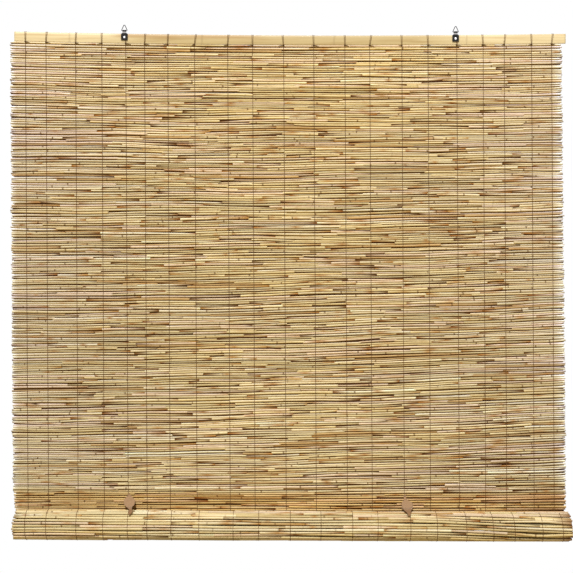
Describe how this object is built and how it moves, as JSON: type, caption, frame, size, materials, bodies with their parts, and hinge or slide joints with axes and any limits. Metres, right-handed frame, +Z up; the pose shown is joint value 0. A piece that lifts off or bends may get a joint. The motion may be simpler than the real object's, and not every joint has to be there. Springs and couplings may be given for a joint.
{
  "type": "reed roll-up blind",
  "caption": "Reed mat stitched with twine on a split-bamboo slat, its lower part wound into a roll, hung from wire rings as a window blind.",
  "frame": {"origin": "midway between the two points where the rings hang on their hooks", "axes": "+X along the reeds, to the right seen from the front; +Y to the back, towards the window; +Z up"},
  "size_m": [1.2072, 0.0722, 1.1209],
  "materials": {
    "reed": "natural dry reed, untreated, satin",
    "bamboo": "split bamboo, pale, satin skin",
    "twine": "dark brown twisted twine",
    "tie_cloth": "taupe cloth, matt",
    "black_metal": "black lacquer, satin",
    "ring_wire": "drawn steel wire",
    "screw_steel": "bright plated steel"
  },
  "bodies": {
    "blind": {"header_slat": "bamboo", "reed_mat": "reed", "reed_roll": "reed", "core_cane": "bamboo", "hanger_plate_left": "black_metal", "hanger_screw_left": "screw_steel", "hanger_plate_right": "black_metal", "hanger_screw_right": "screw_steel", "roll_tie_left": "tie_cloth", "roll_tie_right": "tie_cloth", "twine_01": "twine", "twine_02": "twine", "twine_03": "twine", "twine_04": "twine", "twine_05": "twine", "twine_06": "twine", "twine_07": "twine", "twine_08": "twine", "twine_09": "twine", "twine_10": "twine", "twine_11": "twine", "twine_12": "twine", "twine_13": "twine", "twine_14": "twine", "twine_15": "twine", "twine_16": "twine", "twine_17": "twine", "twine_18": "twine", "twine_19": "twine", "twine_20": "twine", "twine_21": "twine"},
    "ring_left": {"hanger_ring_left": "ring_wire"},
    "ring_right": {"hanger_ring_right": "ring_wire"}
  },
  "joints": [
    {"name": "ring_left_swing", "type": "hinge", "parent": "blind", "child": "ring_left", "pos_m": [-0.361, 0, -0.01139], "axis": [1, 0, 0], "range_deg": [-122, 152]},
    {"name": "ring_right_swing", "type": "hinge", "parent": "blind", "child": "ring_right", "pos_m": [0.361, 0, -0.01139], "axis": [1, 0, 0], "range_deg": [-122, 152]}
  ]
}
